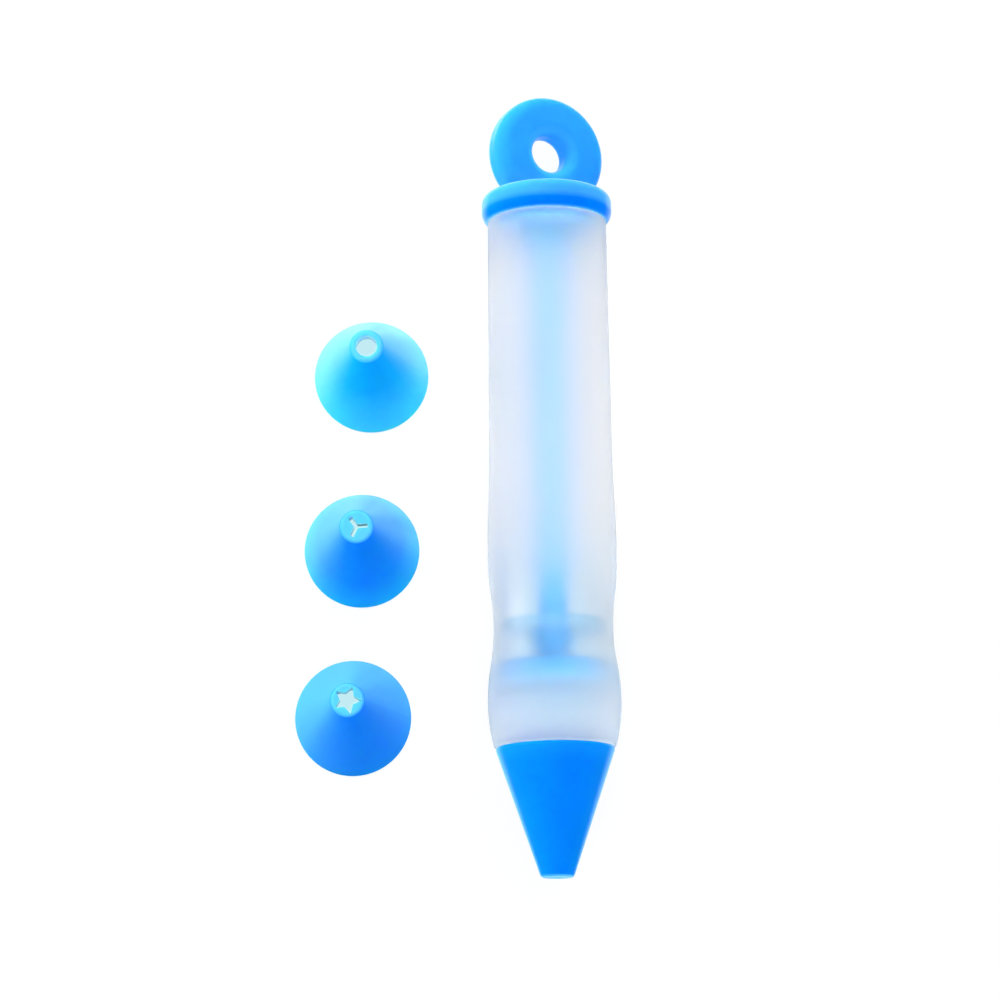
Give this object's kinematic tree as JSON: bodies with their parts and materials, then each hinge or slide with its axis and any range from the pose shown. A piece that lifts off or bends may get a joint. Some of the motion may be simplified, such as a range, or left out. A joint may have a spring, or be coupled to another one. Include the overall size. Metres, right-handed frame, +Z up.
{
  "type": "silicone decorating pen",
  "caption": "Soft plunger pen for piping icing: frosted barrel, ring-handled plunger with a lipped seal, cone nozzle, and spare nozzles with round, three-way and star outlets.",
  "frame": {"origin": "on the table, under the middle of the box round the whole set", "axes": "+Y along the pen from its nozzle to its pull ring, +Z up from the table, +X from the spare nozzles to the pen"},
  "size_m": [0.0618, 0.1508, 0.025],
  "materials": {
    "frosted_silicone": "frosted, translucent",
    "seal_silicone": "satin, translucent",
    "rod_plastic": "smooth",
    "blue_silicone": "satin"
  },
  "bodies": {
    "barrel": {"barrel": "frosted_silicone"},
    "seal": {"piston_seal": "seal_silicone"},
    "plunger": {"plunger_rod": "rod_plastic", "pull_ring": "blue_silicone"},
    "fitted_nozzle": {"writing_nozzle": "blue_silicone"},
    "round_spare": {"round_nozzle": "blue_silicone"},
    "tri_spare": {"tri_nozzle": "blue_silicone"},
    "star_spare": {"star_nozzle": "blue_silicone"}
  },
  "joints": [
    {"name": "plunger_slide", "type": "slide", "parent": "barrel", "child": "seal", "axis": [0, 1, 0], "range_m": [0, 0.0932]},
    {"name": "plunger_spin", "type": "hinge", "parent": "seal", "child": "plunger", "pos_m": [0.01837, -0.02737, 0.0125], "axis": [0, 1, 0], "continuous": true},
    {"name": "nozzle_pull", "type": "slide", "parent": "barrel", "child": "fitted_nozzle", "axis": [0, -1, 0], "range_m": [0, 0.01185]},
    {"name": "round_nozzle_lift", "type": "slide", "parent": "barrel", "child": "round_spare", "axis": [0, 0, 1], "range_m": [0, 0.03]},
    {"name": "tri_nozzle_lift", "type": "slide", "parent": "barrel", "child": "tri_spare", "axis": [0, 0, 1], "range_m": [0, 0.03]},
    {"name": "star_nozzle_lift", "type": "slide", "parent": "barrel", "child": "star_spare", "axis": [0, 0, 1], "range_m": [0, 0.03]}
  ]
}
